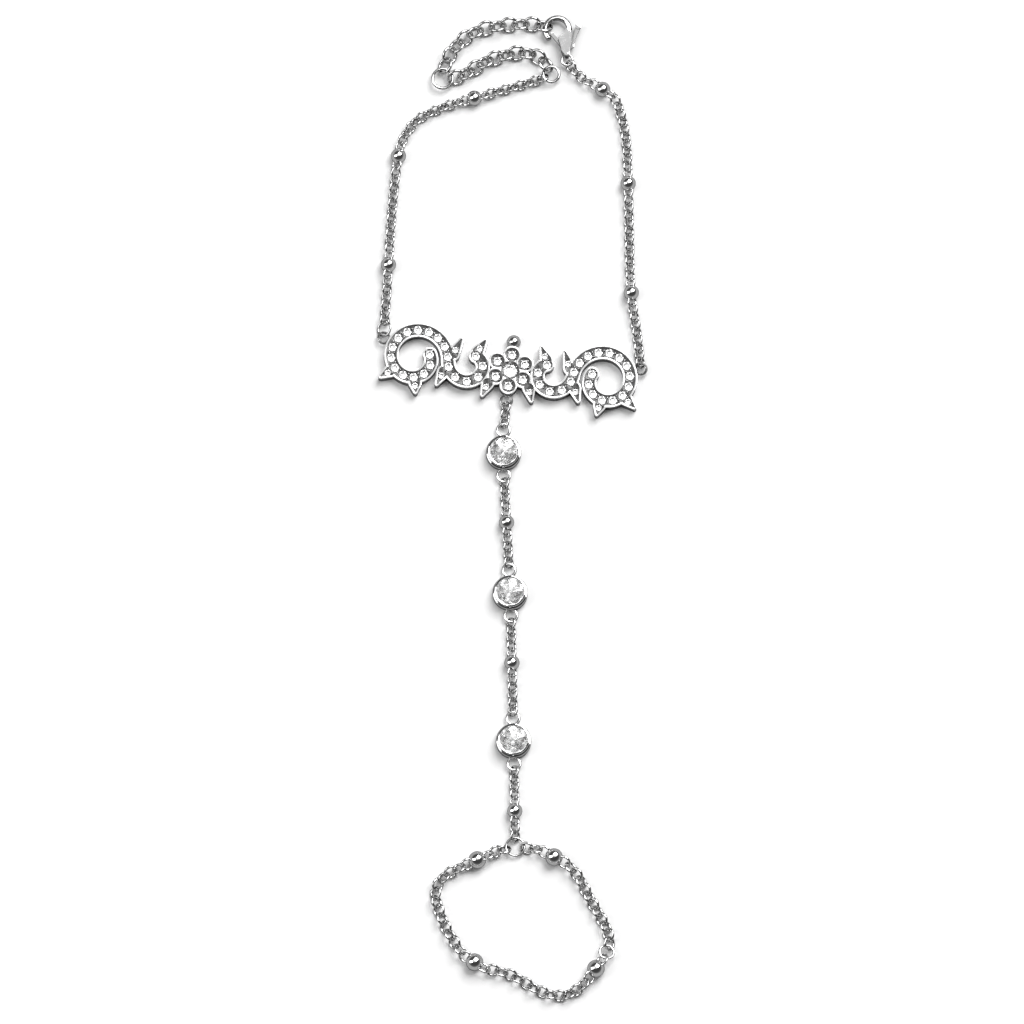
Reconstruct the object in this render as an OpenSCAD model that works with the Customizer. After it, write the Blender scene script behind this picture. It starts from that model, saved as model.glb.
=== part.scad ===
// Hand chain bracelet, lying flat: a wrist chain with a pave scroll plate, a drop of three
// bezel-set stones, and a finger loop. Millimetres, +Z up, origin under the middle of the piece.

/* [Wrist and drop chain] */
// Outer diameter of a link
link_d = 2.2; // [2:0.05:2.4]
// Wire of a link
link_wire = 0.38; // [0.32:0.02:0.42]
// Diameter of a ball on the chain
bead_d = 2.6; // [2.4:0.1:3]

/* [Finger chain] */
// Outer diameter of a link of the finger loop
finger_link_d = 2.5; // [2.3:0.05:2.7]
// Wire of a link of the finger loop
finger_wire = 0.42; // [0.36:0.02:0.46]
// Diameter of a ball on the finger loop
finger_bead_d = 3; // [2.6:0.1:3.4]
// Outer diameter of the round ring that joins the drop to the finger loop
finger_ring_d = 3.5; // [3.2:0.1:4]
// Outer diameter of the jump ring in the finger loop
finger_jump_d = 2.8; // [2.6:0.1:3.2]

/* [Extender] */
// Outer diameter of an extender link
extender_link_d = 3.2; // [3:0.1:3.5]
// Wire of an extender link
extender_wire = 0.5; // [0.44:0.02:0.56]
// Outer diameter of the large ring where the extender turns back
turn_ring_d = 3.9; // [3.7:0.1:4.4]

/* [Rings and eyes] */
// Play between two hooked wires
play = 0.12; // [0.1:0.01:0.14]
// More play where a link hangs in a flat eye or ring
eye_play = 0.1; // [0.06:0.01:0.12]
// More play where the extender hangs on the clasp's hook
hook_play = 0.16; // [0.12:0.01:0.2]
// Wire of the jump rings
ring_wire = 0.4; // [0.36:0.02:0.46]
// Wire of the soldered eyes
eye_wire = 0.45; // [0.4:0.02:0.5]
// Outer diameter of the soldered eyes of the plate and the clasp
eye_d = 2.3; // [2.1:0.1:2.5]
// Outer diameter of the jump ring at the left end of the plate
plate_jump_d = 3; // [2.8:0.1:3.4]
// Share of a ball's own link that stands out of the ball
bead_reach = 0.65; // [0.6:0.01:0.7]

/* [Bezels and stones] */
// Outer diameter of a bezel's collar
collar_d = 6; // [5.8:0.1:6.3]
// Height of the collar
collar_h = 1.5; // [1.2:0.1:1.8]
// Outer diameter of the bezel's raised rim
rim_d = 5.5; // [5.3:0.1:5.7]
// Whole height of a bezel
bezel_h = 2.6; // [2.3:0.1:3]
// Diameter of a main stone at its girdle
stone_d = 4.9; // [4.7:0.1:5]
// How far the bezel's lip laps over the stone's edge
lip_lap = 0.1; // [0.05:0.01:0.15]
// Clear space round each stone
stone_gap = 0.05; // [0.03:0.01:0.08]
// Diameter of the eyes soldered to a bezel
bezel_eye_d = 2.6; // [2.4:0.1:2.8]

/* [Scroll plate] */
// Width of a scroll
scroll_w = 2.4; // [2.2:0.1:2.6]
// Width of the polished rim on each side of a scroll
rim_w = 0.28; // [0.2:0.02:0.32]
// Thickness of the plate
plate_h = 2; // [1.6:0.1:2.4]
// Depth of the channel that holds the small stones
channel_depth = 0.35; // [0.25:0.05:0.45]
// Radius of an inner scroll where it starts
inner_scroll_r = 3.7; // [3.5:0.1:3.9]
// Radius of an outer scroll where it starts
outer_scroll_r = 5.6; // [5.4:0.1:5.8]
// Diameter of a small stone
pave_d = 1.5; // [1.3:0.05:1.55]
// Distance between two small stones along a scroll
pave_pitch = 1.72; // [1.66:0.02:2]
// Distance of the flower's petals from its middle
petal_at = 2.7; // [2.6:0.05:2.8]
// Radius of a petal
petal_r = 1.5; // [1.4:0.05:1.6]
// Radius of the flower's heart
heart_r = 1.9; // [1.8:0.05:2]
// Diameter of the stone in the middle of the flower
heart_stone_d = 2.4; // [2:0.1:2.6]
// Diameter of the stone in each leaf
leaf_stone_d = 1.1; // [0.9:0.05:1.2]
// Ledge left round each seat under a small stone's edge
seat_ledge = 0.03; // [0.02:0.01:0.05]
// Height of a small stone's edge over the channel's floor
stone_rise = 0.14; // [0.12:0.01:0.18]
// Turn of the plate on the table, seen from above
plate_turn = -7; // [-10:1:-4]
// Diameter of the polished ball on top of the plate
top_ball_d = 2.4; // [2:0.1:2.8]

/* [Clasp] */
// Radius of the middle line of the clasp's hook
hook_r = 2.05; // [1.95:0.05:2.2]
// Thickness of the hook's wire
hook_wire = 0.95; // [0.85:0.05:1]
// Thickness of the clasp's body
clasp_h = 2.4; // [2.4:0.1:2.8]
// Height of the slot that takes the lever
slot_h = 0.8; // [0.7:0.05:0.9]
// Clear space above and below the lever
lever_side_gap = 0.05; // [0.03:0.01:0.08]
// Diameter of the lever's pin
pin_d = 0.6; // [0.5:0.05:0.7]
// Clear space round the pin
pin_gap = 0.04; // [0.02:0.01:0.06]
// Half the width of the lever's gate
gate_half = 0.28; // [0.22:0.02:0.32]

/* [Hidden] */

// Shift that brings the middle of the whole piece over the origin
middle = [0.12, 0.3];

// Routes of the chains on the table, from the first ring of each: chosen round points
left_route = [
    [-21.8, 33], [-21.5, 37], [-21.2, 42], [-20.6, 51.5], [-19.6, 60.7], [-18.5, 64.2],
    [-16.4, 67.1], [-13.4, 68.8], [-10.2, 70], [-7.2, 70.8], [-0.5, 72.8], [4.2, 74.2],
    [7.5, 75.7], [9.4, 76.9],
];
right_route = [
    [21.1, 30], [20.1, 37], [19.8, 47], [19.6, 57], [19.3, 63.5], [18.4, 68.2],
    [17.1, 71.2], [14.5, 73.1], [12.2, 74.2], [10.6, 75.7], [9.3, 77.6], [8.2, 79.6],
];
drop_route = [
    [-1.6, 8], [-0.5, -15.5], [0.1, -41.5], [0.4, -60.5], [0.5, -66],
];
finger_route = [
    [-2.7, -60.2], [-5.8, -61.7], [-8.8, -63], [-11.4, -64.4], [-12.9, -66.3], [-13, -68.8],
    [-11.7, -72.6], [-9.9, -76], [-7.5, -79.1], [-4.8, -80.5], [-1.6, -81.2], [0.7, -82.1],
    [3, -83.5], [5.4, -84.7], [8.3, -85.2], [10.7, -84.3], [12.6, -82.5], [14.2, -80.4],
    [15.6, -78.2], [16.3, -76.2], [16.1, -74.2], [15, -71.8], [13.2, -68.6], [11.2, -64.8], [9.4, -62.7],
    [7, -61.2], [4, -59.9],
];
upper_extender_route = [
    [3.4, 83.9], [0.6, 83.9], [-2.5, 83.6], [-5.5, 82.9], [-8, 81.6], [-10, 79.6], [-11.4, 77.2],
];
lower_extender_route = [
    [-9.2, 74.7], [-7, 75.9], [-4.5, 77.4], [-1.6, 78.4], [1.2, 78.9], [3.6, 78.5], [5.3, 77.3],
];
turn_ring_at = middle + [-12, 74.4];

// Free links between two stations, counted along each chain
left_counts = [6, 11, 10, 8];
right_counts = [8, 11, 10, 4];
drop_counts = [3, 4, 4, 4, 5, 4, 2];
finger_counts = [2, 12, 12];

link = [link_d, link_wire];
finger_link = [finger_link_d, finger_wire];
extender_link = [extender_link_d, extender_wire];
roll = 45;
lift_len = 4.5;
curve_steps = 6;
smooth_fn = 48;
wire_fn = 24;

// Height of a chain's middle line when its rolled links lie on the table, the tilted ones too
bed = 0.03;
function rest_z(l) = (l[0] - l[1]) / 2 * sin(roll) + l[1] / 2 + bed;
chain_z = rest_z(link);
finger_z = rest_z(finger_link);
extender_z = rest_z(extender_link);
// Distance between two hooked links of one kind
function pitch(l) = l[0] - 2 * l[1] - play;
// Distance from a station's centre to that of the first link hooked into it
function first_link(l, station) =
    station[0] - (station[1] + l[1]) / 2 - play - station[3] + (l[0] - l[1]) / 2;
// Distance between two stations with n free links between them
function span(l, a, b, n) = first_link(l, a) + (n - 1) * pitch(l) + first_link(l, b);

// A station is the reach of its end wire from its centre, the wire, its height and its own play
function ball_station(d, l) = [ball_eye_at(d, l) + (l[0] - l[1]) / 2, l[1], d / 2, 0];
function ball_eye_at(d, l) = d / 2 + bead_reach * l[0] - l[0] / 2;
function ring_station(d, wire, z) = [(d - wire) / 2, wire, z, eye_play];
bead_station = ball_station(bead_d, link);
finger_bead_station = ball_station(finger_bead_d, finger_link);
bezel_eye_lap = 0.35;
bezel_eye_at = (collar_d + bezel_eye_d) / 2 - bezel_eye_lap;
bezel_station = [bezel_eye_at + (bezel_eye_d - eye_wire) / 2, eye_wire, chain_z, eye_play];
plate_eye_station = ring_station(eye_d, eye_wire, plate_h / 2);
clasp_eye_station = ring_station(eye_d, eye_wire, clasp_h / 2);
plate_jump_station = ring_station(plate_jump_d, ring_wire, plate_h / 2);
hook_station = [0, hook_wire, extender_z, hook_play];
finger_ring_station = ring_station(finger_ring_d, ring_wire, chain_z);
finger_jump_station = ring_station(finger_jump_d, ring_wire, finger_z);
turn_station = ring_station(turn_ring_d, extender_wire, extender_z);
extender_station = ring_station(extender_link_d, extender_wire, extender_z);

// A route is two tables, x and y by the length along a smooth curve through its points
function curve(p) = [
    for (i = [0 : len(p) - 2], k = [0 : curve_steps - 1])
        let (a = p[max(i - 1, 0)], b = p[i], c = p[i + 1], d = p[min(i + 2, len(p) - 1)],
            t = k / curve_steps)
        0.5 * (2 * b + (c - a) * t + (2 * a - 5 * b + 4 * c - d) * t ^ 2
            + (3 * b - a - 3 * c + d) * t ^ 3),
    p[len(p) - 1],
];
function lengths(p) = [
    for (i = 0, s = 0; i < len(p); i = i + 1, s = i < len(p) ? s + norm(p[i] - p[i - 1]) : s) s,
];
function route(start, points, end) = let (
    p = curve(concat(start, [for (p = points) p + middle], end)), s = lengths(p)) [
    [for (i = [0 : len(p) - 1]) [s[i], p[i][0]]],
    [for (i = [0 : len(p) - 1]) [s[i], p[i][1]]],
    s[len(s) - 1],
];
function at(r, s) = [lookup(s, r[0]), lookup(s, r[1])];
function heading(r, s) = let (v = at(r, s + 0.4) - at(r, s - 0.4)) atan2(v[1], v[0]);
function share(t) = max(min(t, 1), 0);

// The plate's own frame, and its scrolls, mirrored left and right: centre, first radius and
// angle at the joint of the two scrolls, and how far each turns back clockwise. The inner one
// laps over the flower's side petals
plate_at = middle + [-0.5, 23.3];
scroll_v = 0.2;
scroll_gap = 0.5;
scroll_step = 10;
flower_lap = 0.3;
petals = 6;
flower_reach = petal_at * cos(180 / petals) + petal_r;
inner_scroll_u = flower_reach - flower_lap + inner_scroll_r - scroll_gap / 2;
scroll_joint_u = inner_scroll_u + inner_scroll_r;
scrolls = [
    [inner_scroll_u, inner_scroll_r, 0, 240],
    [scroll_joint_u + outer_scroll_r, outer_scroll_r, 180, 380],
];
function scroll_point(row, turned, aside = 0) = let (a = row[2] - turned,
    r = row[1] - (scroll_w + scroll_gap) * turned / 360 + aside)
    [row[0] + r * cos(a), scroll_v + r * sin(a)];
eye_lap = 0.25;
end_eye_turn = 153;
end_eye = scroll_point(scrolls[1], end_eye_turn, (scroll_w + eye_d) / 2 - eye_lap);
drop_eye_v = -(petal_at + petal_r + eye_d / 2 - eye_lap);
function on_plate(u, v) = plate_at
    + [u * cos(plate_turn) - v * sin(plate_turn), u * sin(plate_turn) + v * cos(plate_turn)];

left_way = route([on_plate(-end_eye[0], end_eye[1])], left_route, []);
right_way = route([on_plate(end_eye[0], end_eye[1])], right_route, []);
drop_way = route([on_plate(0, drop_eye_v)], drop_route, []);

// Places of the stations along each way, counted out in links from the plate's eye
left_stations = [
    plate_jump_station, bead_station, bead_station, bead_station, extender_station,
];
function hooked(a, b) = a[0] + b[0] - (a[1] + b[1]) / 2 - play - max(a[3], b[3]);
function left_place(k) = k == 0 ? hooked(plate_eye_station, plate_jump_station)
    : left_place(k - 1) + span(link, left_stations[k - 1], left_stations[k], left_counts[k - 1]);
right_stations = [
    plate_eye_station, bead_station, bead_station, bead_station, clasp_eye_station,
];
function right_place(k) = k == 0 ? 0
    : right_place(k - 1)
        + span(link, right_stations[k - 1], right_stations[k], right_counts[k - 1]);
drop_stations = [
    plate_eye_station, bezel_station, bead_station, bezel_station, bead_station,
    bezel_station, bead_station, finger_ring_station,
];
function drop_place(k) = k == 0 ? 0
    : drop_place(k - 1) + span(link, drop_stations[k - 1], drop_stations[k], drop_counts[k - 1]);

// The finger loop leaves its ring, is counted round to the jump ring, and is closed from behind
finger_ring_at = at(drop_way, drop_place(7));
finger_way = route([finger_ring_at], finger_route, [finger_ring_at]);
finger_stations = [
    finger_ring_station, finger_bead_station, finger_bead_station, finger_bead_station,
    finger_jump_station, finger_bead_station, finger_ring_station,
];
function finger_place(k) = k == 0 ? 0
    : k == 4 ? finger_place(3) + hooked(finger_bead_station, finger_jump_station)
    : k == 5 ? finger_way[2] - finger_place(1)
    : k == 6 ? finger_way[2]
    : finger_place(k - 1)
        + span(finger_link, finger_stations[k - 1], finger_stations[k], finger_counts[k - 1]);

// The clasp hangs on the end of the right chain by its eye, and its hook holds the extender
clasp_eye_at = [0.45, -1.9];
clasp_at = at(right_way, right_place(4)) - clasp_eye_at;
hook_at = [-1.25, 3.4];
hook_hold = 165;
hook_point = clasp_at + hook_at + hook_r * [cos(hook_hold), sin(hook_hold)];
left_end = at(left_way, left_place(4));
upper_way = route([hook_point], upper_extender_route, [turn_ring_at]);
lower_way = route([turn_ring_at], lower_extender_route, [left_end]);

// A ring of round wire, flat on the plane of its middle line
module wire_ring(l) {
    rotate_extrude($fn = smooth_fn)
        translate([(l[0] - l[1]) / 2, 0]) circle(d = l[1], $fn = wire_fn);
}

// Number of steps from the first to the last link of a stretch
function steps(l, a, b, from, to) =
    max(round((to - first_link(l, b) - from - first_link(l, a)) / pitch(l) + 0.45), 0);

// One stretch of links between two stations, rolled to and fro about the chain's own line
module stretch(l, way, a, b, from, to) {
    n = steps(l, a, b, from, to);
    s0 = from + first_link(l, a);
    step = n == 0 ? 0 : (to - first_link(l, b) - s0) / n;
    low = rest_z(l);
    lift = min(lift_len, to - b[0] - from - a[0]);
    function height(s) = low + (a[2] - low) * share(1 - (s - from - a[0]) / lift)
        + (b[2] - low) * share(1 - (to - b[0] - s) / lift);
    for (i = [0 : n]) let (s = s0 + i * step, p = at(way, s))
        translate([p[0], p[1], height(s)])
            rotate([i % 2 == 0 ? roll : -roll, -atan2(height(s + 0.5) - height(s - 0.5), 1),
                heading(way, s)])
                wire_ring(l);
}

// A ball with the two links that are soldered into it, turned to suit the links before and after
module bead(d, l, way, s, steps_before) {
    before = at(way, s - ball_eye_at(d, l));
    after = at(way, s + ball_eye_at(d, l));
    p = (before + after) / 2;
    color("silver") translate([p[0], p[1], d / 2])
        rotate([0, 0, atan2(after[1] - before[1], after[0] - before[0])]) union() {
        sphere(d = d, $fn = smooth_fn);
        for (e = [-1, 1]) translate([e * ball_eye_at(d, l), 0, 0])
            rotate([e > 0 || steps_before % 2 == 0 ? -roll : roll, 0, 0]) wire_ring(l);
    }
}

// A ring laid flat at the height of the chains it joins
module flat_ring(p, station, d, wire) {
    color("silver") translate([p[0], p[1], station[2]]) wire_ring([d, wire]);
}

module left_wrist_chain() {
    color("silver") for (k = [0 : 3])
        stretch(link, left_way, left_stations[k], left_stations[k + 1],
            left_place(k), left_place(k + 1));
}

module right_wrist_chain() {
    color("silver") for (k = [0 : 3])
        stretch(link, right_way, right_stations[k], right_stations[k + 1],
            right_place(k), right_place(k + 1));
}

module drop_chain(first, last) {
    color("silver") for (k = [first : last])
        stretch(link, drop_way, drop_stations[k], drop_stations[k + 1],
            drop_place(k), drop_place(k + 1));
}

module finger_chain(first, last) {
    color("silver") for (k = [first : last])
        stretch(finger_link, finger_way, finger_stations[k], finger_stations[k + 1],
            finger_place(k), finger_place(k + 1));
}

module left_bead(k) { bead(bead_d, link, left_way, left_place(k), left_counts[k - 1] - 1); }

module right_bead(k) { bead(bead_d, link, right_way, right_place(k), right_counts[k - 1] - 1); }

module drop_bead(k) {
    bead(bead_d, link, drop_way, drop_place(2 * k), drop_counts[2 * k - 1] - 1);
}

module finger_bead(k) {
    place = k == 4 ? 5 : k;
    before = steps(finger_link, finger_stations[place - 1], finger_stations[place],
        finger_place(place - 1), finger_place(place));
    bead(finger_bead_d, finger_link, finger_way, finger_place(place), before);
}

// Rolled so far that it rests on the table
module plate_jump_ring() {
    p = at(left_way, left_place(0));
    jump_roll = asin((plate_h - ring_wire) / (plate_jump_d - ring_wire));
    color("silver") translate([p[0], p[1], plate_jump_station[2]])
        rotate([-jump_roll, 0, heading(left_way, left_place(0))])
            wire_ring([plate_jump_d, ring_wire]);
}

module finger_ring() { flat_ring(finger_ring_at, finger_ring_station, finger_ring_d, ring_wire); }

// Tilted from the height of the ball before it down to that of the chain after it
module finger_jump_ring() {
    p = at(finger_way, finger_place(4));
    fall = finger_bead_d / 2 - finger_z;
    color("silver") translate([p[0], p[1], finger_z + fall / 2])
        rotate([0, asin(fall / (finger_jump_d - ring_wire)), heading(finger_way, finger_place(4))])
            wire_ring([finger_jump_d, ring_wire]);
}

module turn_ring() { flat_ring(turn_ring_at, turn_station, turn_ring_d, extender_wire); }

module extender_chain() {
    color("silver") {
        stretch(extender_link, upper_way, hook_station, turn_station, 0, upper_way[2]);
        stretch(extender_link, lower_way, turn_station, extender_station, 0, lower_way[2]);
        flat_ring(left_end, extender_station, extender_link_d, extender_wire);
    }
}

// A cup of a lower collar and a raised rim, whose round lip laps over the stone, with an eye
// each way
girdle_z = bezel_h - 0.6;
seat_top = 0.15;
lip_base = 0.35;
seat_fall = 1.1;
seat_w = 0.75;
collar_edge = 0.25;
module bezel(k) {
    place = drop_place(2 * k - 1);
    p = at(drop_way, place);
    lip_r = stone_d / 2 - lip_lap;
    recess_r = stone_d / 2 + stone_gap;
    back_r = stone_d / 2 - seat_w;
    round_r = (rim_d / 2 - lip_r) / 2;
    color("silver") translate([p[0], p[1], 0]) rotate([0, 0, heading(drop_way, place)])
        union() {
            rotate_extrude($fn = smooth_fn) polygon(concat(
                [[back_r, 0]],
                [for (a = [-90 : 30 : 0]) [collar_d / 2 - collar_edge, collar_edge]
                    + collar_edge * [cos(a), sin(a)]],
                [for (a = [0 : 30 : 90]) [collar_d / 2 - collar_edge, collar_h - collar_edge]
                    + collar_edge * [cos(a), sin(a)]],
                [for (a = [0 : 30 : 180]) [lip_r + round_r, bezel_h - round_r]
                    + round_r * [cos(a), sin(a)]],
                [[lip_r, girdle_z + lip_base], [recess_r, girdle_z + seat_top],
                    [recess_r, girdle_z - seat_top], [back_r, girdle_z - seat_fall]]));
            for (e = [-1, 1]) translate([e * bezel_eye_at, 0, chain_z])
                wire_ring([bezel_eye_d, eye_wire]);
        }
}

// A round brilliant: table, kites and girdle above, mains below, all from one hull of its corners
module brilliant(d, table, crown, girdle, pavilion) {
    r = d / 2;
    rt = r * table;
    rm = rt + (r - rt) * 0.48;
    kite = cos(22.5);
    zm = girdle + crown * (r - rm * kite) / (r - rt);
    rp = r * 0.8;
    hull() polyhedron(
        points = concat(
            [for (i = [0 : 7]) [rt * cos(45 * i), rt * sin(45 * i), girdle + crown]],
            [for (i = [0 : 7]) [rm * cos(45 * i + 22.5), rm * sin(45 * i + 22.5), zm]],
            [for (i = [0 : 15]) [r * cos(22.5 * i), r * sin(22.5 * i), girdle]],
            [for (i = [0 : 15]) [r * cos(22.5 * i), r * sin(22.5 * i), 0]],
            [for (i = [0 : 7]) [rp * cos(45 * i + 22.5), rp * sin(45 * i + 22.5),
                -pavilion * (r - rp * kite) / r]],
            [[0, 0, -pavilion]]),
        faces = [[for (i = [0 : 56]) i]]);
}

module main_stone(k) {
    p = at(drop_way, drop_place(2 * k - 1));
    color("aliceblue") translate([p[0], p[1], girdle_z - stone_gap])
        rotate([0, 0, 15 * k]) brilliant(stone_d, 0.56, 0.55, 0.1, 1.5);
}

// A leaf: its scroll, how far round its root lies, its direction, and how far aside the root
// lies and how long the leaf is as shares of the scroll's width
leaves = [
    [0, 245, 118, 0.35, 0.96], [1, 12, 112, 0.39, 1.25], [0, 24, -68, 0.46, 1],
    [1, 216, -38, 0.37, 0.83], [0, 140, -72, 0.82, 0.92], [1, 276, -100, 0.42, 0.67],
];
function leaf_root(row) = scroll_point(scrolls[row[0]], row[1], row[3] * scroll_w);
leaf_root_r = 0.48 * scroll_w;
leaf_tip_r = 0.17 * scroll_w;
leaf_tip_least = 0.08;
leaf_stone_share = 0.3;
thread = 0.01;

// The teardrop round two circles
function leaf_points(len, root, tip) = let (f = acos((root - tip) / len)) concat(
    [for (i = [0 : 10]) let (a = f + (360 - 2 * f) * i / 10) root * [cos(a), sin(a)]],
    [for (i = [0 : 4]) let (a = f * (i / 2 - 1)) [len, 0] + tip * [cos(a), sin(a)]]);

// Outline of the scrolls, leaves and flower, drawn in by less all round
module outline(less) {
    offset(delta = 0) {
        offset(r = scroll_w / 2 - less, $fn = 24) for (m = [0, 1]) mirror([m, 0])
            for (row = scrolls) let (turns = [for (a = [0 : scroll_step : row[3]]) a])
                polygon(concat([for (a = turns) scroll_point(row, a, thread)],
                    [for (i = [len(turns) - 1 : -1 : 0]) scroll_point(row, turns[i], -thread)]));
        for (m = [0, 1]) mirror([m, 0]) for (row = leaves)
            translate(leaf_root(row)) rotate(row[2]) polygon(leaf_points(row[4] * scroll_w,
                leaf_root_r - less, max(leaf_tip_r - less, leaf_tip_least)));
        for (k = [0 : petals - 1]) rotate(90 + 360 / petals * k)
            translate([petal_at, 0]) circle(r = petal_r - less, $fn = 32);
        circle(r = heart_r - less, $fn = 32);
    }
}

// Places and diameters of the small stones: along the scrolls, in the leaves and in the flower
function even_points(row) = let (
    p = [for (a = [0 : 5 : row[3]]) scroll_point(row, a)], s = lengths(p),
    x = [for (i = [0 : len(p) - 1]) [s[i], p[i][0]]], y = [for (i = [0 : len(p) - 1]) [s[i], p[i][1]]],
    total = s[len(s) - 1], n = round((total - pave_pitch / 2) / pave_pitch))
    [for (i = [0 : n - 1]) let (t = pave_pitch / 2 + (total - pave_pitch / 2) * i / (n - 1))
        [lookup(t, x), lookup(t, y), pave_d]];
pave_places = concat(
    [for (m = [-1, 1], row = scrolls, p = even_points(row)) [m * p[0], p[1], p[2]]],
    [for (m = [-1, 1], row = leaves) let (p = leaf_root(row)
            + leaf_stone_share * row[4] * scroll_w * [cos(row[2]), sin(row[2])])
        [m * p[0], p[1], leaf_stone_d]],
    [for (k = [0 : petals - 1]) let (a = 90 + 360 / petals * k)
        [petal_at * cos(a), petal_at * sin(a), pave_d]],
    [[0, 0, heart_stone_d]]);

seat_share = 0.4;
module scroll_plate() {
    color("silver") translate([plate_at[0], plate_at[1], 0]) rotate([0, 0, plate_turn])
        union() {
            difference() {
                linear_extrude(plate_h) outline(0);
                translate([0, 0, plate_h - channel_depth])
                    linear_extrude(2 * channel_depth) outline(rim_w);
                for (p = pave_places)
                    translate([p[0], p[1], plate_h - channel_depth - seat_share * p[2]])
                        cylinder(d = p[2] - 2 * seat_ledge, h = plate_h, $fn = wire_fn);
            }
            translate([0, petal_at + petal_r + top_ball_d / 2 - 0.3, top_ball_d / 2])
                sphere(d = top_ball_d, $fn = smooth_fn);
            for (m = [-1, 1]) translate([m * end_eye[0], end_eye[1], plate_h / 2])
                wire_ring([eye_d, eye_wire]);
            translate([0, drop_eye_v, plate_h / 2]) wire_ring([eye_d, eye_wire]);
        }
}

module pave_stones() {
    color("aliceblue") translate([plate_at[0], plate_at[1], plate_h - channel_depth + stone_rise])
        rotate([0, 0, plate_turn]) for (p = pave_places) translate([p[0], p[1], 0])
            small_stone(p[2] / 2);
}

// A small round stone with a table, eight crown facets, a girdle and eight facets below
module small_stone(r) {
    hull() polyhedron(points = concat(
        [for (i = [0 : 7]) [r * cos(45 * i), r * sin(45 * i), 0]],
        [for (i = [0 : 7]) [r * cos(45 * i), r * sin(45 * i), -0.05]],
        [for (i = [0 : 7]) let (a = 45 * i + 22.5) [0.58 * r * cos(a), 0.58 * r * sin(a), 0.32 * r]],
        [[0, 0, -0.78 * r]]), faces = [[for (i = [0 : 24]) i]]);
}

// The clasp lies on its side, in its own frame with the lever's pin at the origin
hook_start = -20;
hook_end = 222;
hook_tip_r = hook_wire / 2 + 0.05;
hook_tip = hook_at + hook_r * [cos(hook_end), sin(hook_end)];
stop_gap = 0.04;
hub_r = 0.62;
base_v = -hub_r - 0.08;
// The gate rests against the inner side of the hook's tip
gate_angle = atan2(hook_tip[1], hook_tip[0])
    - asin((hook_tip_r + gate_half + stop_gap) / norm(hook_tip));
gate_len = norm(hook_tip) - 0.05;

module clasp_body() {
    cheek = [
        [0.75, 3.7], [1.2, 2.6], [1.15, 1.2], [0.95, -0.2], [0.8, -1], [0.65, -1.35], [0.2, -1.35],
        [-0.15, -1], [-0.55, -0.4], [-0.75, 0.6], [-1.15, 1.75], [-0.95, 2], [0.3, 3.3],
    ];
    slot = [[-2, base_v], [2, base_v], [2, 1.6], [0.35, 1.9], [-0.1, 2.9], [-2, 2.9]];
    color("silver") translate([clasp_at[0], clasp_at[1], 0]) union() {
        difference() {
            union() {
                linear_extrude(clasp_h) polygon(cheek);
                translate([hook_at[0], hook_at[1], clasp_h / 2]) rotate([0, 0, hook_start])
                    rotate_extrude(angle = hook_end - hook_start, $fn = smooth_fn)
                        translate([hook_r, 0]) circle(d = hook_wire, $fn = wire_fn);
                translate([hook_tip[0], hook_tip[1], clasp_h / 2])
                    sphere(r = hook_tip_r, $fn = smooth_fn);
            }
            translate([0, 0, (clasp_h - slot_h) / 2]) linear_extrude(slot_h) polygon(slot);
        }
        translate([0, 0, 0.1]) cylinder(d = pin_d, h = clasp_h - 0.2, $fn = smooth_fn);
        translate([clasp_eye_at[0], clasp_eye_at[1], clasp_h / 2]) wire_ring([eye_d, eye_wire]);
    }
}

// Gate, hub and thumb piece in one, turning on the pin
module clasp_lever() {
    lever_h = slot_h - 2 * lever_side_gap;
    thumb = [[0.35, 0.05, 0.45], [1.3, 0.5, 0.3], [1.75, 2.2, 0.22], [2.3, 3.9, 0.42]];
    color("gainsboro") translate([clasp_at[0], clasp_at[1], (clasp_h - lever_h) / 2]) union() {
        difference() {
            linear_extrude(lever_h) offset(delta = 0) union() {
                circle(r = hub_r, $fn = smooth_fn);
                rotate(gate_angle) hull() {
                    circle(r = gate_half, $fn = wire_fn);
                    translate([gate_len, 0]) circle(r = gate_half, $fn = wire_fn);
                }
                for (i = [0 : 2]) hull() for (row = [thumb[i], thumb[i + 1]])
                    translate([row[0], row[1]]) circle(r = row[2], $fn = wire_fn);
            }
            translate([0, 0, -lever_h])
                cylinder(d = pin_d + 2 * pin_gap, h = 3 * lever_h, $fn = smooth_fn);
        }
        translate([thumb[3][0], thumb[3][1], lever_h / 2 - 0.6])
            cylinder(r = thumb[3][2] + 0.05, h = 1.2, $fn = smooth_fn);
    }
}

scroll_plate();
pave_stones();
plate_jump_ring();
left_wrist_chain();
right_wrist_chain();
left_bead(1);  // left_bead_1
left_bead(2);  // left_bead_2
left_bead(3);  // left_bead_3
right_bead(1);  // right_bead_1
right_bead(2);  // right_bead_2
right_bead(3);  // right_bead_3
drop_chain(0, 0);  // drop_chain_1
drop_chain(1, 2);  // drop_chain_2
drop_chain(3, 4);  // drop_chain_3
drop_chain(5, 6);  // drop_chain_4
drop_bead(1);  // drop_bead_1
drop_bead(2);  // drop_bead_2
drop_bead(3);  // drop_bead_3
bezel(1);  // bezel_1
bezel(2);  // bezel_2
bezel(3);  // bezel_3
main_stone(1);  // stone_1
main_stone(2);  // stone_2
main_stone(3);  // stone_3
finger_ring();
finger_jump_ring();
finger_chain(0, 2);  // finger_chain_left
finger_chain(4, 5);  // finger_chain_right
finger_bead(1);  // finger_bead_1
finger_bead(2);  // finger_bead_2
finger_bead(3);  // finger_bead_3
finger_bead(4);  // finger_bead_4
extender_chain();
turn_ring();
clasp_body();
clasp_lever();
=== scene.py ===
"""Hand chain bracelet laid flat: finish, small details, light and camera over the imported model."""
import math

import bpy
from mathutils import Matrix, Vector, kdtree


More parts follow.
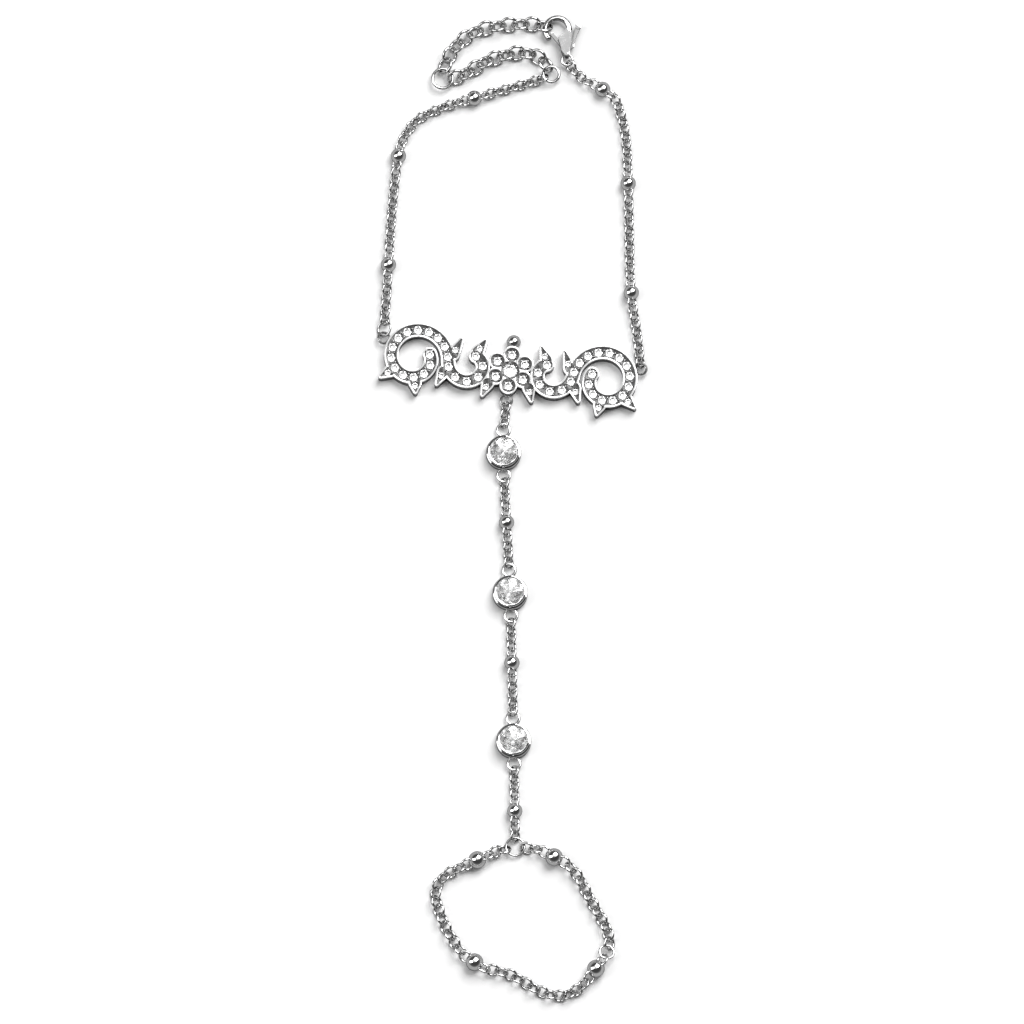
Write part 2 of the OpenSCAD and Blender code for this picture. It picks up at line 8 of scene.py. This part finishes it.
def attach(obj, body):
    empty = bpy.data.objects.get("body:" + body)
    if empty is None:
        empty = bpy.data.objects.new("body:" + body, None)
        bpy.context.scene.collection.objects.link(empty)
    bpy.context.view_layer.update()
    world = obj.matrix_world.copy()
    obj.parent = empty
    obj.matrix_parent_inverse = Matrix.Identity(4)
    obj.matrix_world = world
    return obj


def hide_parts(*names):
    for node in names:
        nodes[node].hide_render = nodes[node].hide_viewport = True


MM = 0.001
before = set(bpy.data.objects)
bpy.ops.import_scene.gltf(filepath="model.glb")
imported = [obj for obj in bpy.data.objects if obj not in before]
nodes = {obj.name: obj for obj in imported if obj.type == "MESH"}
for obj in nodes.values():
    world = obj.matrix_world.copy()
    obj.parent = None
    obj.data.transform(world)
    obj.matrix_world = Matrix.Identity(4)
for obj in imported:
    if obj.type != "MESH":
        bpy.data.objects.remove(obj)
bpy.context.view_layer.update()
bpy.ops.object.select_all(action="DESELECT")


# Chains, jump rings and finger ring: round silver wire, coiled, cut into links and soldered
# shut, then barrelled bright. Haze, soft unevenness and painted shade, a darker colour in the
# recesses and between touching parts, come from one finish, which every metal piece below takes with
# values of its own.
HAZE_SCALE = 900
WAVE_SCALE = 420
WAVE_STRENGTH = 0.6
TINT_DIP = 0.05
HAZE_RANGE = (0.35, 0.7)
TINT_RANGE = (0.3, 0.7)
RECESS_RANGE = (0.25, 0.85)
SHADE_SAMPLES = 4
FINISH_INPUTS = ("Tone", "Least Haze", "Most Haze", "Recess Shade", "Shade Reach")
EDGE_SHEEN = (0.45, 0.45, 0.46, 1)


def noise_of(tree, scale, detail=3.0):
    coords = tree.nodes.new("ShaderNodeTexCoord")
    noise = tree.nodes.new("ShaderNodeTexNoise")
    noise.inputs["Scale"].default_value = scale
    noise.inputs["Detail"].default_value = detail
    tree.links.new(coords.outputs["Object"], noise.inputs["Vector"])
    return noise.outputs["Fac"]


def math_of(tree, operation, first, second):
    step = tree.nodes.new("ShaderNodeMath")
    step.operation = operation
    for socket, value in zip(step.inputs, (first, second)):
        if isinstance(value, (int, float)):
            socket.default_value = value
        else:
            tree.links.new(value, socket)
    return step.outputs["Value"]


# Spreads a value's range over a new one, whose ends are numbers or sockets
def spread_of(tree, source, span, to_low, to_high):
    spread = tree.nodes.new("ShaderNodeMapRange")
    tree.links.new(source, spread.inputs["Value"])
    spread.inputs["From Min"].default_value, spread.inputs["From Max"].default_value = span
    for name, value in (("To Min", to_low), ("To Max", to_high)):
        if isinstance(value, (int, float)):
            spread.inputs[name].default_value = value
        else:
            tree.links.new(value, spread.inputs[name])
    return spread.outputs["Result"]


silver_finish = bpy.data.node_groups.new("silver_finish", "ShaderNodeTree")
for name in FINISH_INPUTS:
    silver_finish.interface.new_socket(name, in_out="INPUT", socket_type="NodeSocketFloat")
silver_finish.interface.new_socket("Colour", in_out="OUTPUT", socket_type="NodeSocketColor")
for name in ("Roughness", "Waves"):
    silver_finish.interface.new_socket(name, in_out="OUTPUT", socket_type="NodeSocketFloat")
given = silver_finish.nodes.new("NodeGroupInput").outputs
result = silver_finish.nodes.new("NodeGroupOutput").inputs
haze = noise_of(silver_finish, HAZE_SCALE)
silver_finish.links.new(
    spread_of(silver_finish, haze, HAZE_RANGE, given["Least Haze"], given["Most Haze"]),
    result["Roughness"])
dull_tone = math_of(silver_finish, "SUBTRACT", given["Tone"], TINT_DIP)
tint = spread_of(silver_finish, haze, TINT_RANGE, dull_tone, given["Tone"])
# Painted shade: where ambient occlusion finds recesses and nearby parts, the colour is darkened
# towards the group's darkest-shade input.
recess = silver_finish.nodes.new("ShaderNodeAmbientOcclusion")
recess.samples = SHADE_SAMPLES
silver_finish.links.new(given["Shade Reach"], recess.inputs["Distance"])
recess_shade = spread_of(silver_finish, recess.outputs["AO"], RECESS_RANGE, given["Recess Shade"], 1.0)
silver_finish.links.new(math_of(silver_finish, "MULTIPLY", tint, recess_shade), result["Colour"])
silver_finish.links.new(noise_of(silver_finish, WAVE_SCALE, 1.0), result["Waves"])


def new_material(name):
    mat = bpy.data.materials.new(name)
    mat.use_nodes = True
    return mat, mat.node_tree, mat.node_tree.nodes["Principled BSDF"]


# The last two values set the painted shade in recesses and between parts: how dark it gets at most
# (1.0 leaves none) and how far it reaches, in mm.
def silver(name, tone, least_haze, most_haze, wave=0.02, recess_shade=0.0, shade_reach=0.5):
    mat, tree, shader = new_material(name)
    shader.inputs["Metallic"].default_value = 1.0
    shader.inputs["Specular Tint"].default_value = EDGE_SHEEN
    finish = tree.nodes.new("ShaderNodeGroup")
    finish.name = "silver_finish"
    finish.node_tree = silver_finish
    for socket, value in zip(FINISH_INPUTS, (tone, least_haze, most_haze, recess_shade, shade_reach * MM)):
        finish.inputs[socket].default_value = value
    tree.links.new(finish.outputs["Colour"], shader.inputs["Base Color"])
    tree.links.new(finish.outputs["Roughness"], shader.inputs["Roughness"])
    bump = tree.nodes.new("ShaderNodeBump")
    bump.inputs["Distance"].default_value = wave * MM
    bump.inputs["Strength"].default_value = WAVE_STRENGTH
    tree.links.new(finish.outputs["Waves"], bump.inputs["Height"])
    tree.links.new(bump.outputs["Normal"], shader.inputs["Normal"])
    return mat


def dress(obj, mat):
    obj.data.materials.clear()
    obj.data.materials.append(mat)


# The chain silver is darkened to black by painted shade where its links touch and lie close.
chain_silver = silver("chain_silver", tone=0.76, least_haze=0.04, most_haze=0.1, shade_reach=1.0)
for name, obj in nodes.items():
    if ("chain" in name or "ring" in name) and "bead" not in name:
        dress(obj, chain_silver)


# Balls on the chains: hollow silver balls, pressed in halves, soldered, and polished to a
# mirror. A link is soldered into each side.
ball_silver = silver("ball_silver", tone=0.95, least_haze=0.03, most_haze=0.07,
                     wave=0.01, recess_shade=0.3)
for name, obj in nodes.items():
    if "bead" in name:
        dress(obj, ball_silver)


# Scroll plate: cast silver with its eyes and ball soldered on. The rims are polished, and the
# flat floor of the sunk channels is coloured near black with a fine grain, and is rougher.
# The edges are rounded by the polishing.
PLATE_TOP = 2.0 * MM
CHANNEL_DEPTH = 0.35 * MM
SUNK_SHARE = 0.8
FLAT_FACING = 0.9
GRAIN_SCALE = 5200
GRAIN_RANGE = (0.35, 0.7)
CHANNEL_DARK, CHANNEL_PALE = 0.05, 0.16
FLOOR_ROUGHNESS = 0.34
PLATE_EDGE = 0.1 * MM
EDGE_STEPS = 3
SHARPEST_KEPT = 50
FACET_WELD = 0.0002 * MM

plate_silver = silver("plate_silver", tone=0.93, least_haze=0.05, most_haze=0.14, recess_shade=0.3)
tree = plate_silver.node_tree
shader = tree.nodes["Principled BSDF"]
place = tree.nodes.new("ShaderNodeSeparateXYZ")
tree.links.new(tree.nodes.new("ShaderNodeTexCoord").outputs["Object"], place.inputs["Vector"])
normal = tree.nodes.new("ShaderNodeSeparateXYZ")
tree.links.new(tree.nodes.new("ShaderNodeNewGeometry").outputs["Normal"], normal.inputs["Vector"])
sunk = math_of(tree, "LESS_THAN", place.outputs["Z"], PLATE_TOP - CHANNEL_DEPTH * SUNK_SHARE)
upright = math_of(tree, "ABSOLUTE", normal.outputs["Z"], 0.0)
flat = math_of(tree, "GREATER_THAN", upright, FLAT_FACING)
channel_floor = math_of(tree, "MULTIPLY", sunk, flat)
# The flat floor of the sunk channels is coloured near black, varied by a fine grain, in place of the
# polished colour.
grain = noise_of(tree, GRAIN_SCALE, 2.0)
channel_tone = spread_of(tree, grain, GRAIN_RANGE, CHANNEL_DARK, CHANNEL_PALE)
polish = tree.nodes["silver_finish"].outputs
colour = tree.nodes.new("ShaderNodeMix")
colour.data_type = "RGBA"
tree.links.new(channel_floor, colour.inputs["Factor"])
tree.links.new(polish["Colour"], colour.inputs[6])
tree.links.new(channel_tone, colour.inputs[7])
tree.links.new(colour.outputs[2], shader.inputs["Base Color"])
roughness = tree.nodes.new("ShaderNodeMix")
tree.links.new(channel_floor, roughness.inputs["Factor"])
tree.links.new(polish["Roughness"], roughness.inputs[2])
roughness.inputs[3].default_value = FLOOR_ROUGHNESS
tree.links.new(roughness.outputs[0], shader.inputs["Roughness"])
dress(nodes["scroll_plate"], plate_silver)


def polish_edges(obj, width):
    weld = obj.modifiers.new("weld", "WELD")
    weld.merge_threshold = FACET_WELD
    edge = obj.modifiers.new("rounded_edges", "BEVEL")
    edge.width = width
    edge.segments = EDGE_STEPS
    edge.limit_method = "ANGLE"
    edge.angle_limit = math.radians(SHARPEST_KEPT)
    normals = obj.modifiers.new("flat_faces", "WEIGHTED_NORMAL")
    normals.keep_sharp = False


polish_edges(nodes["scroll_plate"], PLATE_EDGE)


# Small stones: round clear zirconia with a faint haze in the body, seated in drilled holes
# along the channels.
CLOUD_SCALE = 300
CLOUD_RANGE = (0.3, 0.7)


def clear_stone(name, ior, least, most):
    mat, tree, shader = new_material(name)
    tone = spread_of(tree, noise_of(tree, CLOUD_SCALE, 1.0), CLOUD_RANGE, least, most)
    tree.links.new(tone, shader.inputs["Base Color"])
    shader.inputs["Roughness"].default_value = 0.0
    shader.inputs["IOR"].default_value = ior
    shader.inputs["Transmission Weight"].default_value = 1.0
    return mat


dress(nodes["pave_stones"], clear_stone("small_clear_stone", ior=2.2, least=0.84, most=0.92))


# Grip beads: curls of the plate's own metal, raised with a graver and pressed over the small
# stones' girdles with a hollow punch. Neighbours share a pair, and a lone stone has its own
# ring of them. Their feet stand in the channel floor.
GRIP_R = 0.17 * MM
GRIP_TALL = 0.24 * MM
GRIP_FOOT = 0.2 * MM
GRIP_RISE = 0.14 * MM
GRIP_Z = PLATE_TOP - CHANNEL_DEPTH + GRIP_RISE
GRIP_ASIDE = 0.4 * MM
GRIP_SHARE = 0.4 * MM
GRIP_LEAST_GAP = 1.4 * GRIP_R
END_GRIP_TURN = 0.7
NEIGHBOUR = 2.05 * MM
LARGE_STONE_R = 1.0 * MM
GRIPS_LARGE, GRIPS_SMALL = 6, 4
SMOOTH_BELOW = 60
SAME_CORNER = 1e-7
MICRON = 1e-6


# The loose stones of the node's mesh, each as its corners: facets meet where corners do
def loose_stones(mesh):
    corners = {}
    spots = []
    for corner in mesh.vertices:
        key = tuple(round(c / MICRON) for c in corner.co)
        spots.append(corners.setdefault(key, corner.index))
    root = list(range(len(mesh.vertices)))

    def find(i):
        while root[i] != i:
            root[i] = root[root[i]]
            i = root[i]
        return i
    for edge in mesh.edges:
        a, b = find(spots[edge.vertices[0]]), find(spots[edge.vertices[1]])
        root[a] = b
    groups = {}
    for i in set(spots):
        groups.setdefault(find(i), []).append(mesh.vertices[i].co)
    return list(groups.values())


def stone_places():
    places = []
    for group in loose_stones(nodes["pave_stones"].data):
        low = [min(p[k] for p in group) for k in range(3)]
        high = [max(p[k] for p in group) for k in range(3)]
        places.append((Vector([(l + h) / 2 for l, h in zip(low, high)]).xy, (high[0] - low[0]) / 2))
    return places


def grip_places(stones):
    near = kdtree.KDTree(len(stones))
    for i, (place, r) in enumerate(stones):
        near.insert(place.to_3d(), i)
    near.balance()
    found = []
    for i, (place, r) in enumerate(stones):
        ways = []
        for _, j, gap in near.find_range(place.to_3d(), NEIGHBOUR):
            if j == i or gap > r + stones[j][1] + GRIP_SHARE:
                continue
            way = (stones[j][0] - place).normalized()
            ways.append(way)
            if j > i:
                middle = place + way * (gap + r - stones[j][1]) / 2
                aside = Vector((-way.y, way.x)) * GRIP_ASIDE
                found += [middle + aside, middle - aside]
        turns = []
        if len(ways) == 1:
            away = math.atan2(-ways[0].y, -ways[0].x)
            turns = [away - END_GRIP_TURN, away + END_GRIP_TURN]
        elif not ways:
            count = GRIPS_LARGE if r > LARGE_STONE_R else GRIPS_SMALL
            turns = [2 * math.pi * (k + 0.5) / count for k in range(count)]
        found += [place + Vector((math.cos(t), math.sin(t))) * (r + GRIP_R / 3) for t in turns]
    kept = []
    for spot in found:
        if all((spot - other).length > GRIP_LEAST_GAP for other in kept):
            kept.append(spot)
    return kept


bpy.ops.mesh.primitive_ico_sphere_add(subdivisions=2, radius=GRIP_R)
grip = bpy.context.object
bpy.ops.object.mode_set(mode="EDIT")
bpy.ops.mesh.select_all(action="SELECT")
bpy.ops.transform.resize(value=(1, 1, GRIP_TALL / GRIP_R))
bpy.ops.mesh.bisect(plane_co=(0, 0, -GRIP_FOOT), plane_no=(0, 0, 1), use_fill=True,
                    clear_inner=True, threshold=SAME_CORNER)
bpy.ops.object.mode_set(mode="OBJECT")
for spot in grip_places(stone_places()):
    bead = grip.copy()
    bead.data = grip.data.copy()
    bead.location = (spot.x, spot.y, GRIP_Z)
    bpy.context.collection.objects.link(bead)
    bead.select_set(True)
grip.select_set(False)
bpy.context.view_layer.objects.active = bead
bpy.ops.object.join()
bpy.ops.object.transform_apply(location=True, rotation=True, scale=True)
bpy.ops.object.shade_smooth_by_angle(angle=math.radians(SMOOTH_BELOW))
bpy.data.objects.remove(grip)
pave_prongs = bpy.context.object
pave_prongs.name = "pave_prongs"
bezel_silver = silver("bezel_silver", tone=0.92, least_haze=0.04, most_haze=0.1, shade_reach=0.4)
dress(pave_prongs, bezel_silver)
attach(pave_prongs, "bracelet")
bpy.ops.object.select_all(action="DESELECT")


# Bezels: turned silver cups with a raised rim burnished over the stone, and a round wire eye
# soldered on at each end. They have the grip beads' polish.
for name, obj in nodes.items():
    if name.startswith("bezel"):
        dress(obj, bezel_silver)


# Main stones: clear round brilliants with a silvery foil coat on the facets under the
# girdle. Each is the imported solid's own facets again, with the coat as a second material.
FOIL_BELOW = -0.2
stone_clear = clear_stone("brilliant_stone", ior=1.5, least=0.97, most=1.0)
foil = silver("foil_coat", tone=0.97, least_haze=0.24, most_haze=0.3, wave=0.002, recess_shade=1.0)
for number in "123":
    solid = nodes["stone_" + number]
    dress(solid, stone_clear)
    piece = bpy.data.objects.new("brilliant_" + number, solid.data.copy())
    bpy.context.collection.objects.link(piece)
    bpy.context.view_layer.objects.active = piece
    piece.select_set(True)
    bpy.ops.object.mode_set(mode="EDIT")
    bpy.ops.mesh.select_all(action="SELECT")
    bpy.ops.mesh.remove_doubles(threshold=SAME_CORNER)
    bpy.ops.object.mode_set(mode="OBJECT")
    bpy.ops.mesh.customdata_custom_splitnormals_clear()
    bpy.ops.object.shade_flat()
    piece.data.materials.append(foil)
    for facet in piece.data.polygons:
        facet.material_index = 1 if facet.normal.z < FOIL_BELOW else 0
    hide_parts(solid.name)
    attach(piece, "bracelet")
    piece.select_set(False)


# Lobster clasp: a cast silver body with its hook and cheeks, and a lever that turns on the
# pin between them. Both are tumbled, so their edges are round and their flats a little hazy.
BODY_EDGE = 0.3 * MM
LEVER_EDGE = 0.15 * MM
clasp_silver = silver("clasp_silver", tone=0.74, least_haze=0.05, most_haze=0.12,
                      recess_shade=0.1, shade_reach=1.2)
for name, width in (("clasp_body", BODY_EDGE), ("clasp_lever", LEVER_EDGE)):
    dress(nodes[name], clasp_silver)
    polish_edges(nodes[name], width)


# Table: a plain pale sheet. It is a shade darker to the reflections in the metal than to the
# eye.
TABLE_SIZE = 6
TABLE_MIRRORED = 0.35
TABLE_SEEN = 0.93
PAPER_ROUGHNESS = 0.7
bpy.ops.mesh.primitive_plane_add(size=TABLE_SIZE, location=(0, 0, 0))
table = bpy.context.object
table.name = "floor"
table_paper, tree, shader = new_material("floor_paper")
rays = tree.nodes.new("ShaderNodeLightPath")
paper = spread_of(tree, rays.outputs["Is Camera Ray"], (0, 1), TABLE_MIRRORED, TABLE_SEEN)
tree.links.new(paper, shader.inputs["Base Color"])
shader.inputs["Roughness"].default_value = PAPER_ROUGHNESS
shader.inputs["Specular IOR Level"].default_value = 0.0
dress(table, table_paper)


# Room: dark, with a grey band low down, a pale panel overhead, glints for the stones, and
# plain white where the eye sees past the table.
ROOM = 0.05
LOW_BAND = 0.35
MID_BAND = 0.12
CEILING = 0.8
CEILING_WAY = (0, 0.22, 0.97)
CEILING_RANGE = (0.88, 0.96)
GLINT_SCALE = 3.0
GLINT_RANGE = (0.42, 0.56)
GLINT_FAINT, GLINT_BRIGHT = 0.2, 2.2
world = bpy.data.worlds.new("studio")
bpy.context.scene.world = world
world.use_nodes = True
tree = world.node_tree
direction = tree.nodes.new("ShaderNodeTexCoord").outputs["Generated"]
height = tree.nodes.new("ShaderNodeSeparateXYZ")
tree.links.new(direction, height.inputs["Vector"])
walls = tree.nodes.new("ShaderNodeValToRGB")
tree.links.new(height.outputs["Z"], walls.inputs["Fac"])
bands = [(0.0, LOW_BAND), (0.16, LOW_BAND), (0.3, MID_BAND), (0.6, ROOM)]
while len(walls.color_ramp.elements) < len(bands):
    walls.color_ramp.elements.new(0.5)
for band, (rise, grey) in zip(walls.color_ramp.elements, bands):
    band.position = rise
    band.color = (grey, grey, grey, 1)
overhead = tree.nodes.new("ShaderNodeVectorMath")
overhead.operation = "DOT_PRODUCT"
overhead.inputs[1].default_value = Vector(CEILING_WAY).normalized()
tree.links.new(direction, overhead.inputs[0])
panel = spread_of(tree, overhead.outputs["Value"], CEILING_RANGE, 0.0, CEILING)
lit = math_of(tree, "MAXIMUM", panel, walls.outputs["Color"])
glints = tree.nodes.new("ShaderNodeTexNoise")
glints.inputs["Scale"].default_value = GLINT_SCALE
tree.links.new(direction, glints.inputs["Vector"])
spark = spread_of(tree, glints.outputs["Fac"], GLINT_RANGE, GLINT_FAINT, GLINT_BRIGHT)
eye = tree.nodes.new("ShaderNodeLightPath")
through_stone = math_of(tree, "MULTIPLY", eye.outputs["Is Transmission Ray"], spark)
glow = math_of(tree, "ADD", through_stone, lit)
background = tree.nodes["Background"]
tree.links.new(math_of(tree, "MAXIMUM", eye.outputs["Is Camera Ray"], glow),
               background.inputs["Color"])
background.inputs["Strength"].default_value = 1.0


# Softboxes: a large square key above and behind on the right, and a narrow one on the left.
# Each stands far off in its direction, and its size is given as two half angles in degrees.
LIGHT_FAR = 3.0


def softbox(name, toward, half_wide, half_high, strength):
    light = bpy.data.lights.new(name, "AREA")
    light.shape = "RECTANGLE"
    light.size = 2 * LIGHT_FAR * math.tan(math.radians(half_wide))
    light.size_y = 2 * LIGHT_FAR * math.tan(math.radians(half_high))
    light.energy = strength * math.pi * light.size * light.size_y
    obj = bpy.data.objects.new(name, light)
    bpy.context.collection.objects.link(obj)
    obj.location = Vector(toward).normalized() * LIGHT_FAR
    obj.rotation_euler = (-obj.location).to_track_quat("-Z", "Y").to_euler()


softbox("key_light", (0.35, 0.47, 0.81), half_wide=20, half_high=20, strength=6.5)
softbox("side_light", (-0.7, -0.06, 0.71), half_wide=13, half_high=22, strength=3.0)


# Camera: a very long lens from in front of the finger loop, 77.5 degrees above the table. It
# stands where one pixel of the picture covers PIXEL.
CAMERA_ELEVATION = 77.5
CAMERA_AZIMUTH = -2.0
LENS = 1200.0
SENSOR = 36.0
PICTURE = 1024
PIXEL = 0.17 * MM
NEAREST_SEEN = 0.05
AIM = Vector((-0.05, -0.9, 1.0)) * MM
distance = PIXEL * PICTURE * LENS / SENSOR
rise = math.radians(CAMERA_ELEVATION)
turn = math.radians(CAMERA_AZIMUTH)
back = Vector((math.sin(turn) * math.cos(rise), -math.cos(turn) * math.cos(rise), math.sin(rise)))
right = Vector((0, 1, 0)).cross(back).normalized()
camera_data = bpy.data.cameras.new("camera")
camera_data.lens = LENS
camera_data.sensor_width = SENSOR
camera_data.clip_start = NEAREST_SEEN
camera = bpy.data.objects.new("camera", camera_data)
bpy.context.collection.objects.link(camera)
camera.matrix_world = Matrix.Translation(AIM + back * distance) @ Matrix(
    (right, back.cross(right), back)).transposed().to_4x4()
bpy.context.scene.camera = camera
bpy.context.scene.view_settings.view_transform = "Standard"
